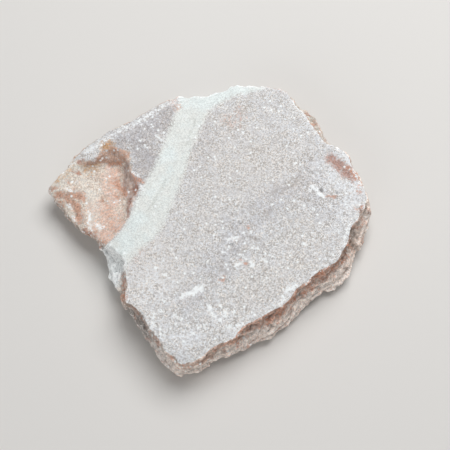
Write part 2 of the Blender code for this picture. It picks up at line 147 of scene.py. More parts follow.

# What is painted on: strokes of one kind, each its radius, its strength and its points
STROKES = {
    "white": [
        (0.8, 1.0, [(-12.6, -23.6), (-10.8, -22.8), (-9.6, -22.7)]),
        (0.7, 1.0, [(-9.0, -22.2), (-7.8, -21.6), (-6.8, -20.7)]),
        (0.5, 1.0, [(-9.4, -21.4), (-8.6, -20.6)]),
        (0.35, 0.9, [(-13.6, -24.2), (-12.9, -24.0)]),
        (0.4, 1.0, [(-15.2, -29.9), (-14.4, -30.4)]),
        (0.4, 1.0, [(-14.0, -30.9), (-13.2, -31.4)]),
        (0.4, 0.9, [(-19.4, -28.4), (-18.6, -28.5)]),
        (0.35, 0.8, [(-19.0, -25.0), (-18.2, -25.5)]),
        (0.4, 0.9, [(-21.6, -14.6), (-21.0, -14.3)]),
        (0.35, 0.9, [(-18.5, -16.6), (-18.2, -16.8)]),
        (0.35, 0.8, [(-16.8, -8.0), (-16.5, -8.2)]),
        (0.35, 0.8, [(-10.0, -13.4), (-9.7, -13.6)]),
        (0.35, 0.8, [(-5.6, -12.4), (-5.2, -12.2)]),
        (0.5, 0.8, [(-21.4, -29.4), (-21.8, -30.6)]),
        (0.45, 0.8, [(-21.8, -32.2), (-21.0, -33.6)]),
        (0.45, 0.7, [(-19.6, -35.8), (-18.2, -36.2)]),
        (0.4, 0.8, [(-6.4, -33.0), (-6.0, -34.0)]),
        (0.4, 0.7, [(-10.2, -35.4), (-9.2, -36.0)]),
        (0.45, 0.9, [(-4.8, -26.8), (-4.4, -28.0)]),
        (0.5, 0.8, [(-3.9, -29.2), (-3.1, -30.3)]),
        (0.45, 0.9, [(-2.0, -26.3), (-1.0, -27.2)]),
        (0.5, 0.8, [(0.2, -28.8), (0.0, -30.2)]),
        (0.4, 0.8, [(-1.4, -31.6), (-2.2, -31.4)]),
        (0.4, 0.7, [(2.4, -30.0), (2.8, -28.6)]),
        (0.5, 0.8, [(0.4, -33.4), (2.0, -33.7)]),
        (0.45, 0.7, [(3.4, -33.2), (5.4, -32.6)]),
        (0.3, 1.0, [(4.4, -10.0), (5.4, -10.4)]),
        (0.3, 0.9, [(5.6, -10.9), (6.4, -11.6)]),
        (0.45, 0.8, [(2.8, -4.6), (3.9, -4.1)]),
        (0.5, 0.7, [(0.9, -4.9), (1.7, -4.6)]),
        (0.3, 0.9, [(5.2, -2.6), (5.9, -2.7)]),
        (0.3, 0.9, [(7.6, -2.4), (8.2, -2.5)]),
        (0.4, 0.7, [(9.0, -7.2), (9.6, -7.7)]),
        (0.35, 0.7, [(-1.6, -2.4), (-1.2, -2.6)]),
        (0.35, 0.8, [(1.2, -7.6), (1.6, -7.4)]),
        (0.6, 0.7, [(3.4, -13.8), (5.0, -12.6)]),
        (0.5, 0.7, [(0.2, -12.6), (0.6, -13.4)]),
        (0.55, 0.7, [(8.2, -12.6), (8.8, -13.6)]),
        (0.5, 0.6, [(10.8, -11.4), (12.4, -12.0), (13.0, -13.4)]),
        (0.4, 0.9, [(24.2, -6.2), (25.0, -6.7)]),
        (0.45, 0.8, [(35.0, -1.8), (35.6, -2.4)]),
        (0.6, 0.8, [(27.6, 13.4), (28.6, 12.6), (29.2, 11.6)]),
        (0.5, 1.0, [(29.4, 10.8), (30.8, 10.4)]),
        (0.35, 0.9, [(26.6, 12.0), (27.0, 11.4)]),
        (0.35, 0.8, [(27.6, 6.0), (27.9, 5.2)]),
        (0.35, 0.7, [(24.8, 6.8), (25.2, 6.6)]),
        (0.35, 0.7, [(33.2, 6.4), (33.5, 6.2)]),
        (0.35, 0.7, [(36.4, 2.4), (36.7, 2.1)]),
        (0.8, 0.7, [(19.0, -22.0), (20.4, -21.2), (21.6, -20.4)]),
        (0.6, 0.6, [(14.6, -27.4), (17.0, -26.2), (18.4, -23.8)]),
        (0.55, 0.5, [(26.0, -17.6), (29.0, -15.6), (32.6, -13.4)]),
        (0.6, 0.5, [(36.6, -6.8), (37.6, -3.0), (39.0, 0.6)]),
        (0.4, 0.9, [(-50.6, 12.7), (-49.4, 12.2), (-48.6, 11.6)]),
        (0.6, 0.9, [(-49.2, 6.8), (-48.2, 5.6)]),
        (0.5, 0.8, [(-47.8, 3.0), (-46.8, 1.4)]),
        (0.9, 1.0, [(-39.6, -0.2), (-39.2, -1.0)]),
        (0.6, 0.7, [(-42.6, 4.4), (-42.4, 1.0), (-42.0, -1.4)]),
        (0.5, 0.8, [(-22.0, 31.4), (-20.4, 30.2)]),
        (0.4, 0.8, [(-26.0, 27.6), (-24.4, 26.8)]),
        (0.35, 0.8, [(-27.6, 29.8), (-27.2, 29.6)]),
        (0.45, 0.8, [(-29.4, 18.4), (-27.4, 17.0)]),
        (0.4, 0.7, [(-26.6, 13.6), (-26.0, 11.8)]),
    ],
    "rust": [
        (0.45, 0.8, [(7.0, -0.6), (7.5, -0.9)]),
        (0.4, 1.0, [(6.0, -12.9), (6.6, -13.1)]),
        (0.35, 0.6, [(5.0, -11.5), (5.6, -11.8)]),
        (0.5, 0.5, [(-0.2, -17.2), (-0.4, -18.2), (-1.6, -18.6)]),
        (0.8, 0.4, [(-26.0, -9.0), (-25.6, -8.6)]),
        (0.7, 0.35, [(-27.4, -11.6), (-26.8, -12.4)]),
        (0.5, 1.0, [(34.0, 9.8), (34.9, 9.7)]),
        (0.4, 0.8, [(32.0, 10.0), (33.6, 9.8)]),
        (0.6, 0.7, [(41.6, 11.6), (42.8, 11.4)]),
        (0.8, 0.5, [(39.4, 20.2), (41.2, 17.0), (42.6, 13.4)]),
        (0.6, 0.6, [(40.8, 5.4), (42.6, 5.8), (43.4, 5.4)]),
        (1.0, 0.4, [(18.2, 48.0), (19.6, 48.0)]),
        (0.5, 0.6, [(23.4, 43.4), (24.0, 42.6)]),
        (0.8, 0.8, [(-36.2, 20.9), (-34.6, 21.2), (-33.4, 21.4)]),
        (1.2, 0.8, [(-34.2, 15.2), (-33.4, 12.6)]),
        (1.0, 1.0, [(-32.4, 12.4), (-31.6, 10.6)]),
        (0.8, 0.8, [(-29.0, 17.0), (-27.4, 15.6), (-26.2, 14.8)]),
        (0.6, 0.8, [(-34.4, -2.4), (-33.4, -1.4)]),
        (0.7, 0.7, [(-38.0, -6.0), (-37.2, -5.8)]),
        (0.8, 0.6, [(-38.6, 8.2), (-37.0, 6.8)]),
        (0.7, 0.7, [(-34.4, 10.4), (-33.4, 9.8)]),
        (0.8, 0.9, [(-54.6, 12.3), (-53.2, 12.8)]),
        (1.3, 1.0, [(-52.6, 10.4), (-50.0, 9.8), (-47.0, 10.2), (-45.0, 9.4)]),
        (1.2, 1.0, [(-48.6, 8.2), (-46.6, 6.4), (-46.0, 3.6), (-45.6, 1.8)]),
        (0.8, 0.7, [(-52.0, 8.0), (-51.0, 6.2)]),
        (0.5, 0.6, [(-50.0, 15.4), (-49.8, 14.6)]),
        (1.4, 0.5, [(-16.2, 44.2), (-15.6, 41.6)]),
        (1.0, 0.6, [(-31.0, -22.0), (-30.9, -25.0)]),
        (0.6, 0.6, [(-31.2, -16.4), (-31.6, -18.4), (-31.0, -20.4)]),
        (1.8, 0.3, [(0.6, 37.4), (3.0, 35.6)]),
        (1.4, 0.3, [(4.4, 41.0), (5.6, 38.6)]),
    ],
    "ochre": [
        (0.8, 0.6, [(-45.4, 20.5), (-43.0, 20.6), (-40.6, 21.2)]),
        (1.6, 0.9, [(-38.4, 27.6), (-37.4, 28.4)]),
        (1.6, 0.5, [(-44.6, 19.2), (-40.0, 19.4)]),
        (1.8, 0.5, [(-53.2, 16.0), (-51.4, 17.8), (-49.6, 19.6)]),
    ],
    "brown": [
        (0.8, 0.7, [(-46.6, 22.2), (-45.6, 22.4)]),
        (0.8, 0.4, [(-48.4, 18.4), (-46.4, 18.0)]),
        (0.6, 0.7, [(-29.6, 9.0), (-30.1, 6.0), (-30.4, 3.0)]),
        (0.9, 0.8, [(-28.2, 13.4), (-28.8, 12.0), (-28.6, 10.6)]),
        (0.9, 0.8, [(-43.6, -1.8), (-42.2, -2.8), (-40.6, -3.6)]),
        (1.6, 1.0, [(33.8, 23.0), (35.8, 20.9), (38.0, 18.7), (40.2, 16.9)]),
        (1.2, 1.0, [(36.4, 21.8), (38.4, 19.8), (39.6, 18.2)]),
        (0.7, 0.7, [(34.4, 24.0), (35.6, 23.2)]),
        (0.7, 0.8, [(39.6, 16.6), (41.2, 15.8)]),
        (0.6, 0.6, [(43.0, 6.4), (42.6, 4.6)]),
    ],
    # Grey: painted faint shade on the top face, and, at x -45 to -42, the shade in the valley beside the
    # wing's ridge
    "grey": [
        (4.5, 0.6, [(30.0, 7.0), (24.0, 14.0), (16.0, 8.5), (9.0, 2.0)]),
        (5.0, 0.6, [(4.0, -1.0), (2.0, -7.0), (-3.0, -14.0)]),
        (4.0, 0.4, [(-7.0, -20.0), (-11.0, -26.0)]),
        (1.8, 0.8, [(3.6, 0.6), (5.4, -1.2)]),
        (1.8, 0.9, [(2.2, -6.6), (3.8, -8.4)]),
        (1.2, 0.8, [(26.4, 18.6), (26.8, 19.4)]),
        (2.4, 0.5, [(32.0, 7.4), (34.6, 7.0)]),
        (2.6, 0.6, [(27.6, 21.0), (29.0, 16.0)]),
        (2.2, 0.4, [(-22.0, -25.0), (-18.0, -27.0)]),
        (1.2, 0.6, [(-45.2, 14.0), (-44.2, 12.4)]),
        (0.7, 0.9, [(-44.6, 8.6), (-44.6, 4.0), (-44.3, 0.0), (-43.8, -1.6)]),
        (1.6, 0.5, [(-43.0, 9.6), (-42.4, 8.0)]),
        (3.0, 0.4, [(-6.0, 34.0), (-7.6, 27.0), (-9.6, 19.0)]),
    ],
    # Streaks of darker grains; the first, from x 15 to 22, paints faint shade
    "dark_streak": [
        (1.0, 1.0, [(15.0, 11.2), (18.6, 12.6), (21.8, 13.8)]),
        (0.8, 0.8, [(22.4, 16.0), (24.0, 18.4)]),
        (0.9, 0.8, [(7.4, -3.4), (10.0, -5.0), (11.4, -7.4)]),
        (0.8, 0.9, [(2.2, -8.0), (4.4, -9.2)]),
        (0.8, 0.7, [(-2.0, -13.6), (0.0, -15.6)]),
        (1.0, 0.6, [(12.0, 4.0), (15.0, 5.0)]),
        (0.9, 0.6, [(-10.4, -20.4), (-8.0, -25.0)]),
        (1.0, 0.5, [(-30.0, 27.0), (-26.0, 29.0)]),
        (0.9, 0.5, [(-25.4, 20.0), (-24.6, 17.4)]),
    ],
    "mauve": [
        (5.4, 1.0, [(-33.0, 30.0), (-26.0, 34.0), (-20.0, 38.0)]),
        (4.4, 1.0, [(-26.5, 27.0), (-24.0, 22.0)]),
        (2.6, 0.9, [(-27.6, 20.4), (-26.8, 17.0)]),
        (1.8, 0.8, [(-28.0, 15.4), (-28.0, 11.6)]),
    ],
    "tan": [
        (10.0, 0.6, [(-2.0, 32.0), (4.0, 22.0), (16.0, 20.0)]),
        (8.0, 0.5, [(-3.0, 14.0), (-8.0, 4.0)]),
        (7.0, 0.9, [(-25.0, -8.0), (-20.0, -16.0), (-24.0, -24.0)]),
        (8.0, 0.5, [(9.0, -24.0), (16.0, -18.0), (26.0, -10.0)]),
        (2.4, 1.0, [(0.4, 37.6), (2.6, 36.0)]),
        (2.2, 0.8, [(5.4, 41.6), (4.4, 39.8)]),
        (2.6, 0.8, [(0.6, 29.6), (1.0, 27.4)]),
        (1.2, 1.0, [(-5.4, 41.0), (-7.4, 35.6), (-9.8, 29.6)]),
        (1.0, 0.8, [(-10.2, 28.0), (-12.2, 21.4), (-14.6, 13.0)]),
        (1.4, 1.0, [(-31.2, -17.0), (-30.9, -22.0), (-31.0, -25.2)]),
    ],
    "peach": [
        (3.2, 1.0, [(-37.4, 4.4), (-35.6, 2.0), (-34.4, -1.6)]),
        (2.6, 1.0, [(-38.0, -1.2), (-37.6, -4.6), (-36.0, -5.4)]),
        (2.8, 0.8, [(-35.4, 17.4), (-35.6, 13.0), (-35.0, 8.6)]),
        (2.4, 0.8, [(-40.6, 6.4), (-40.4, 2.6), (-39.4, -1.4)]),
    ],
    "cream": [
        (3.4, 1.0, [(-54.0, 14.6), (-51.6, 17.6), (-48.0, 20.4)]),
        (2.6, 0.8, [(-46.0, 18.0), (-43.6, 14.6), (-41.6, 9.0)]),
        (2.2, 0.7, [(-40.8, 6.0), (-41.0, 1.0)]),
    ],
    "icy": [
        (2.8, 0.8, [(-14.0, 45.0), (-8.0, 43.6), (-2.0, 46.4), (7.0, 49.0)]),
        (2.0, 0.8, [(-19.6, 24.5), (-16.8, 24.0)]),
        (1.6, 0.5, [(-17.6, 19.0), (-20.0, 14.6), (-23.0, 11.0)]),
        (2.0, 0.8, [(-26.4, 2.6), (-28.8, 0.0)]),
        (1.8, 0.6, [(-25.4, -4.4), (-24.6, -5.2)]),
        (2.4, 0.9, [(-30.8, -4.6), (-31.6, -8.4), (-33.6, -10.4)]),
        (2.6, 1.0, [(-34.0, -12.4), (-34.6, -16.0), (-33.4, -19.0)]),
    ],
    "bright": [
        (3.2, 0.4, [(38.0, 9.6), (41.6, 6.6), (38.6, 4.6)]),
        (2.6, 0.6, [(34.0, 17.4), (37.6, 14.0), (40.4, 11.0)]),
        (2.6, 0.35, [(29.0, 21.4), (31.0, 16.8)]),
        (2.4, 0.6, [(37.0, 24.6), (40.4, 20.4), (42.6, 15.0), (44.4, 9.0)]),
        (4.6, 0.5, [(-13.0, -41.0), (-10.4, -38.0), (-17.0, -36.6)]),
        (2.4, 0.5, [(-28.6, -24.6), (-24.6, -29.0), (-20.4, -34.6)]),
        (7.0, 0.7, [(-25.0, -8.0), (-20.0, -16.0), (-24.0, -22.0)]),
        (2.0, 0.6, [(22.4, 44.0), (24.8, 39.4), (28.8, 33.4)]),
        (3.4, 0.1, [(20.0, 36.0), (24.0, 37.0)]),
        (2.2, 0.5, [(2.0, -34.6), (10.0, -29.6), (17.6, -25.6), (25.0, -18.2), (33.0, -12.0)]),
        (2.0, 0.35, [(-38.0, 29.6), (-30.0, 34.4), (-22.0, 40.4)]),
    ],
    "flecked": [
        (9.0, 1.0, [(-20.0, -28.0), (-12.0, -34.0), (-2.0, -29.0)]),
        (8.0, 1.0, [(1.0, -8.0), (8.0, -10.0), (14.0, -10.0)]),
        (9.0, 1.0, [(28.0, 16.0), (36.0, 14.0), (38.0, 4.0)]),
        (7.0, 0.8, [(-31.0, 30.0), (-22.0, 37.0)]),
        (7.0, 0.6, [(8.0, -26.0), (22.0, -18.0), (33.0, -8.0)]),
    ],
    "bevel": [
        (1.0, 0.8, [(-44.4, 25.6), (-40.6, 29.0), (-35.6, 32.2), (-30.4, 35.0)]),
        (0.9, 0.8, [(-30.4, 35.0), (-24.6, 39.2), (-18.4, 43.4), (-14.0, 45.0)]),
        (0.8, 0.5, [(-53.0, 17.2), (-50.6, 19.4), (-48.4, 22.6)]),
    ],
    "groove": [
        (0.35, 1.0, [(-9.8, 37.4), (-10.2, 35.0), (-11.6, 31.8), (-12.6, 28.0)]),
        (0.4, 1.0, [(-19.0, 15.6), (-19.8, 13.2), (-21.4, 10.6), (-22.6, 7.6), (-24.8, 4.6)]),
        (0.8, 0.8, [(-31.4, -12.2), (-31.6, -16.4), (-31.2, -20.0)]),
    ],
    # Pits: carved into the mesh, and darkened in the finish with painted shade
    "pit": [
        (0.4, 1.0, [(30.2, 12.4), (30.6, 11.9)]),
        (0.3, 0.6, [(35.2, 11.4), (35.4, 11.0)]),
        (0.3, 0.6, [(4.4, 0.9), (4.9, 0.5)]),
        (0.3, 0.6, [(1.8, -6.4), (2.4, -6.6)]),
    ],
}

# The broken rock's tones, from 0 to 255, and where they lie round the stone: by the angle about
# its middle, the tone high on the flank and the one low on it
TONES = {
    "cream": (238, 223, 212),
    "chalk": (224, 215, 208),
    "waxy": (222, 225, 221),
    "sand": (222, 200, 186),
    "stone": (202, 195, 184),
    "tan": (204, 178, 160),
    "rusty": (206, 166, 147),
    "earth": (174, 156, 144),
    "slate": (154, 149, 145),
    "umber": (145, 128, 116),
}
FLANK_TONES = [
    (-180, "tan", "earth"),
    (-169, "earth", "umber"),
    (-160, "waxy", "waxy"),
    (-142, "waxy", "stone"),
    (-136, "sand", "earth"),
    (-131, "earth", "slate"),
    (-120, "slate", "slate"),
    (-108, "chalk", "chalk"),
    (-102, "cream", "cream"),
    (-92, "sand", "cream"),
    (-84, "rusty", "cream"),
    (-22, "rusty", "cream"),
    (-10, "umber", "sand"),
    (4, "cream", "cream"),
    (20, "cream", "chalk"),
    (48, "stone", "earth"),
    (70, "chalk", "tan"),
    (92, "waxy", "waxy"),
    (108, "chalk", "stone"),
    (128, "stone", "earth"),
    (170, "tan", "umber"),
    (180, "tan", "earth"),
]

# The tone of the side that it lies on
UNDERSIDE_TONE = (196, 180, 168)


def linear(colour):
    """A colour in 0 to 255 as it shows on a screen, as linear red, green and blue."""
    shares = [value / 255 for value in colour]
    return tuple(s / 12.92 if s <= 0.04045 else ((s + 0.055) / 1.055) ** 2.4 for s in shares)


def opaque(colour):
    return (*linear(colour), 1.0)


def smoothstep(low, high, values):
    """0 below low and 1 above high, or the other way round where low is the larger."""
    shares = np.clip((values - low) / (high - low), 0.0, 1.0)
    return shares * shares * (3.0 - 2.0 * shares)


def as_seen(places):
    """Where the eye over the front edge sees these places, on the plane of the top face."""
    slide = (TOP_LEVEL - places[:, 2]) / EYE_HEIGHT
    across = (places[:, 0] + CENTRE_X) / (1 + slide)
    away = (places[:, 1] + CENTRE_Y - EYE_FRONT * slide) / (1 + slide)
    return np.column_stack((across, away))


def line_distance(points, line):
    """The distance from each point to a drawn line."""
    corners = np.array(line, float)
    nearest = np.full(len(points), np.inf)
    for start, end in zip(corners[:-1], corners[1:]):
        along = end - start
        share = np.clip(((points - start) @ along) / (along @ along), 0.0, 1.0)
        away = points - start - share[:, None] * along
        nearest = np.minimum(nearest, np.hypot(away[:, 0], away[:, 1]))
    return nearest


def depth_inside(points, outline):
    """How far each point is inside a closed outline. It is below 0 outside."""
    corners = np.array(outline, float)
    inside = np.zeros(len(points), bool)
    for start, end in zip(corners, np.roll(corners, -1, axis=0)):
        spans = (start[1] > points[:, 1]) != (end[1] > points[:, 1])
        rise = end[1] - start[1] or 1.0
        crossing = start[0] + (points[:, 1] - start[1]) / rise * (end[0] - start[0])
        inside ^= spans & (points[:, 0] < crossing)
    distance = line_distance(points, [*outline, outline[0]])
    return np.where(inside, distance, -distance)


def stroked(points, kind):
    """How strongly the strokes of one kind cover each point, 0 to 1."""
    cover = np.zeros(len(points))
    for radius, strength, line in STROKES[kind]:
        distance = line_distance(points, line)
        cover = np.maximum(cover, strength * smoothstep(2 * radius, 0.0, distance))
    return cover


def lumps(places, size, octaves=3, offset=0.0):
    """Smooth noise about 0 at each place, with lumps of one size in millimetres or three.
    The offset makes each noise its own."""
    spots = places / np.array(size) + offset
    return np.array([noise.fractal(Vector(spot), 1.0, 2.0, octaves) for spot in spots])


class Surface:
    """A mesh as arrays: places in millimetres, normals, and which points are neighbours."""

    def __init__(self, mesh):
        self.mesh = mesh
        self.count = len(mesh.vertices)
        ends = np.zeros(len(mesh.edges) * 2, np.int32)
        mesh.edges.foreach_get("vertices", ends)
        self.first, self.second = ends.reshape(-1, 2).T
        self.neighbours = np.bincount(ends, minlength=self.count)
        flat = np.zeros(self.count * 3, np.float32)
        mesh.vertices.foreach_get("co", flat)
        self.places = flat.reshape(-1, 3).astype(float) / MM
        self.refresh()

    def refresh(self):
        """Writes the places to the mesh, and reads the new normals."""
        flat = (self.places * MM).astype(np.float32).ravel()
        self.mesh.vertices.foreach_set("co", flat)
        self.mesh.update()
        normals = np.zeros(self.count * 3, np.float32)
        self.mesh.vertex_normals.foreach_get("vector", normals)
        self.normals = normals.reshape(-1, 3).astype(float)

    def average(self, values):
        """The mean of each point's neighbours."""
        total = np.bincount(self.first, values[self.second], self.count)
        total += np.bincount(self.second, values[self.first], self.count)
        return total / self.neighbours

    def spread(self, values, rounds):
        """The values evened out with those of the neighbours."""
        for _ in range(rounds):
            values = (values + self.average(values)) / 2
        return values

    def even_out(self, rounds):
        self.places = np.column_stack([self.spread(axis, rounds) for axis in self.places.T])
        self.refresh()

    def push(self, distances):
        """Moves each point along its normal, and keeps the underside on the ground."""
        self.places += self.normals * distances[:, None]
        self.places[:, 2] = np.maximum(self.places[:, 2], 0.0)
        self.refresh()

    def bulge(self, rounds):
        """How far each point stands proud of its surroundings."""
        level = np.column_stack([self.spread(axis, rounds) for axis in self.places.T])
        return ((self.places - level) * self.normals).sum(axis=1)

    def note(self, name, values):
        """Keeps a number for each point, for the material to read."""
        attribute = self.mesh.attributes.new(name, "FLOAT", "POINT")
        attribute.data.foreach_set("value", values.astype(np.float32))

    def note_colour(self, name, values):
        attribute = self.mesh.attributes.new(name, "FLOAT_COLOR", "POINT")
        solid = np.column_stack((values, np.ones(self.count)))
        attribute.data.foreach_set("color", solid.astype(np.float32).ravel())


def drop_loose_crumbs(mesh):
    """Keeps only the largest of the mesh's separate parts."""
    shape = bmesh.new()
    shape.from_mesh(mesh)
    waiting = set(shape.verts)
    largest = set()
    while waiting:
        part = set()
        reached = [waiting.pop()]
        while reached:
            point = reached.pop()
            part.add(point)
            beside = {edge.other_vert(point) for edge in point.link_edges} & waiting
            waiting -= beside
            reached.extend(beside)
        largest = max(largest, part, key=len)
    loose = [point for point in shape.verts if point not in largest]
    bmesh.ops.delete(shape, geom=loose, context="VERTS")
    shape.to_mesh(mesh)
    shape.free()


def fine_copy(source, facet):
    """The node's shape as a new mesh of small even facets."""
    blank = bpy.data.objects.new("blank", source.data.copy())
    bpy.context.collection.objects.link(blank)
    remesh = blank.modifiers.new("Remesh", "REMESH")
    remesh.mode = "VOXEL"
    remesh.voxel_size = facet
    graph = bpy.context.evaluated_depsgraph_get()
    mesh = bpy.data.meshes.new_from_object(blank.evaluated_get(graph))
    coarse = blank.data
    bpy.data.objects.remove(blank, do_unlink=True)
    bpy.data.meshes.remove(coarse)
    drop_loose_crumbs(mesh)
    return mesh


def flank_colours(surface):
    """Notes on the mesh the colours of the flank's upper and lower parts at each point."""
    angles = np.degrees(np.arctan2(surface.places[:, 1], surface.places[:, 0]))
    stops = [row[0] for row in FLANK_TONES]
    below = smoothstep(-0.3, -0.8, surface.spread(surface.normals[:, 2], 6))[:, None]
    for name, column in (("flank_high", 1), ("flank_low", 2)):
        tones = np.array([linear(TONES[row[column]]) for row in FLANK_TONES])
        shown = np.column_stack([np.interp(angles, stops, channel) for channel in tones.T])
        surface.note_colour(name, shown + (np.array(linear(UNDERSIDE_TONE)) - shown) * below)


def mark(surface):
    """What lies where on the stone: a number from 0 to 1 at each point, or a depth in mm."""
    seen = as_seen(surface.places)
    upward = surface.spread(surface.normals[:, 2], 3)
    topside = smoothstep(0.0, 0.35, upward)
    scoop = depth_inside(seen, SCOOP)
    in_scoop = smoothstep(-0.4, 0.4, scoop) * topside
    steep = smoothstep(TOP_ENDS, FLANK_STARTS, upward)
    low = smoothstep(LEDGE_TOP, LEDGE_TOP - LEDGE_BLEND, surface.places[:, 2])
    flank = np.maximum(steep, low) * (1 - in_scoop)
    vein = depth_inside(seen, [*VEIN_LEFT, *reversed(VEIN_RIGHT)])
    marks = {
        "flank": flank,
        "fringe": surface.spread(flank, FRINGE_ROUNDS),
        "vein": np.clip(vein, -VEIN_REACH, VEIN_REACH) * (1 - in_scoop) - VEIN_REACH * in_scoop,
        "scoop": np.where(topside > 0.5, np.clip(scoop, -SCOOP_REACH, SCOOP_REACH), -SCOOP_REACH),
        "wall_back": smoothstep(-0.5, 0.5, depth_inside(seen, WALL_BACK)) * topside,
        "wall_right": smoothstep(-0.5, 0.5, depth_inside(seen, WALL_RIGHT)) * topside,
    }
    for kind in STROKES:
        marks[kind] = stroked(seen, kind) * topside
    return marks


def facets(places, size, offset):
    """The height of flat broken facets of one size, each tilted its own way, in units of size."""
    heights = np.zeros(len(places))
    for index, spot in enumerate(places / size + offset):
        point = Vector(spot)
        heart = noise.voronoi(point)[1][0]
        heights[index] = noise.noise_vector(heart * FACET_SHUFFLE).dot(point - heart)
    return heights


def carve(surface, marks, sizes):
    """The fine relief: layers and crumbs on the flanks, chips along the rim, dents on the top."""
    places = surface.places
    flank = marks["flank"]
    wall = np.clip(marks["wall_back"] + marks["wall_right"], 0, 1)
    scoop = smoothstep(-0.5, 0.5, marks["scoop"])
    rough = WALL_RELIEF * wall + FLOOR_RELIEF * scoop * (1 - wall)
    layers = lumps(places, LAYER_SIZE, offset=5.0) * sizes.layer_step / MM
    crumbs = lumps(places, CRUMB_SIZE, offset=11.0) * sizes.crumb / MM
    broken = facets(places, BROAD_FACET, 3.0) * BROAD_RISE
    broken += facets(places, SMALL_FACET, 7.0) * SMALL_RISE
    broken = surface.spread(broken * sizes.facet_tilt, 1)
    swell = lumps(places, SWELL_SIZE, offset=17.0) * sizes.swell / MM
    chips = np.maximum(lumps(places, CHIP_SIZE, 2, 23.0), 0.0) * sizes.chip / MM
    rim = np.clip(marks["fringe"] * (1 - marks["fringe"]) * 4, 0, 1) * (1 - flank)
    push = (layers + crumbs + broken) * flank
    push += swell * (1 - flank)
    push += (crumbs + broken * SCOOP_TILT) * rough * (1 - flank)
    push -= chips * rim
    push -= marks["groove"] * sizes.groove / MM
    push -= marks["pit"] * sizes.pit / MM
    push += crumbs * marks["white"] * WHITE_RELIEF
    surface.push(push)


def place_piece(mesh, name, material):
    """Puts the piece where the node is, and lets it stand for the node."""
    mesh.materials.clear()
    mesh.materials.append(material)
    mesh.shade_smooth()
    piece = bpy.data.objects.new(name, mesh)
    bpy.context.collection.objects.link(piece)
    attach(piece, "root")
    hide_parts(NODE)
    return piece


class Value:
    """A number in a material's nodes. Python's operators on it add the Math nodes."""

    def __init__(self, shader, socket):
        self.shader = shader
        self.socket = socket

    def __add__(self, other):
        return self.shader.math("ADD", self, other)

    def __radd__(self, other):
        return self.shader.math("ADD", other, self)

    def __sub__(self, other):
        return self.shader.math("SUBTRACT", self, other)

    def __rsub__(self, other):
        return self.shader.math("SUBTRACT", other, self)

    def __mul__(self, other):
        return self.shader.math("MULTIPLY", self, other)

    def __rmul__(self, other):
        return self.shader.math("MULTIPLY", other, self)

    def most(self, other):
        return self.shader.math("MAXIMUM", self, other)

    def step(self, low, high):
        """0 below low and 1 above high, smooth between them."""
        settings = {"interpolation_type": "SMOOTHSTEP"}
        sockets = {"Value": self, "From Min": low, "From Max": high}
        return Value(self.shader, self.shader.node("ShaderNodeMapRange", settings, sockets).outputs[0])


class Shader:
    """The nodes of one material."""

    def __init__(self, name):
        self.material = bpy.data.materials.new(name)
        self.material.use_nodes = True
        self.tree = self.material.node_tree
        self.surface = self.tree.nodes["Principled BSDF"]
        self.place = self.vector("SCALE", self.node("ShaderNodeTexCoord", {}, {}).outputs["Object"], 1 / MM)

    def node(self, kind, settings, sockets):
        """A node of this kind, with its settings made first and then its sockets filled."""
        made = self.tree.nodes.new(kind)
        for key, value in settings.items():
            setattr(made, key, value)
        for key, value in sockets.items():
            self.plug(made.inputs[key], value)
        return made

    def plug(self, socket, value):
        source = value.socket if isinstance(value, Value) else value
        if isinstance(source, bpy.types.NodeSocket):
            self.tree.links.new(source, socket)
        else:
            socket.default_value = source

    def math(self, operation, first, second):
        made = self.node("ShaderNodeMath", {"operation": operation}, {0: first, 1: second})
        return Value(self, made.outputs[0])

    def vector(self, operation, first, second):
        key = "Scale" if operation == "SCALE" else 1
        made = self.node("ShaderNodeVectorMath", {"operation": operation}, {0: first, key: second})
        return made.outputs[0]

    def mark(self, name):
        """A number noted on the mesh."""
        made = self.node("ShaderNodeAttribute", {"attribute_name": name}, {})
        return Value(self, made.outputs["Fac"])

    def mark_colour(self, name):
        return self.node("ShaderNodeAttribute", {"attribute_name": name}, {}).outputs["Color"]

    def cloud(self, size, shift, detail=3.0, roughness=0.65, squeeze=(1.0, 1.0, 1.0)):
        """Noise from 0 to 1 with blotches of this size in millimetres. A shift makes it its own."""
        scale = tuple(1 / (size * share) for share in squeeze)
        where = self.vector("MULTIPLY_ADD", self.place, scale)
        where.node.inputs[2].default_value = (shift, shift * 0.7, shift * 1.3)
        sockets = {"Vector": where, "Scale": 1.0, "Detail": detail, "Roughness": roughness}
        return Value(self, self.node("ShaderNodeTexNoise", {}, sockets).outputs["Fac"])

    def grains(self, size):
        """Each grain's random shade and hue, 0 to 1, and how far a place is from its heart."""
        where = self.vector("SCALE", self.place, 1 / size)
        made = self.node("ShaderNodeTexVoronoi", {}, {"Vector": where, "Scale": 1.0})
        parts = self.node("ShaderNodeSeparateColor", {}, {"Color": made.outputs["Color"]})
        shade, hue = (Value(self, parts.outputs[name]) for name in ("Red", "Green"))
        return shade, hue, Value(self, made.outputs["Distance"])

    def fray(self, size, shift, roughness):
        """Noise that strays far from its middle, for edges and mixtures that follow the grains."""
        return (self.cloud(size, shift, detail=4.0, roughness=roughness) - 0.5) * 3.2 + 0.5

    def mix(self, share, first, second, blend="MIX"):
        """Two colours mixed, or the first one blended with the second."""
        settings = {"data_type": "RGBA", "blend_type": blend}
        return self.node("ShaderNodeMix", settings, {0: share, 6: first, 7: second}).outputs[2]

    def laid(self, under, tint, cover, fray, strength, edge, blend="MIX"):
        """A colour laid over another. The cover, from 0 to 1, is the share of the grains that
        take it, the fray says which ones do, and the edge how softly they do."""
        share = (cover + fray).step(1.05 - edge, 1.05 + edge) * strength
        if isinstance(cover, Value):
            share = share * cover.step(0.0, 0.12)
        return self.mix(share, under, tint, blend)

    def shade(self, colour, brightness):
        """A colour made lighter or darker by a factor."""
        return self.vector("SCALE", colour, brightness)


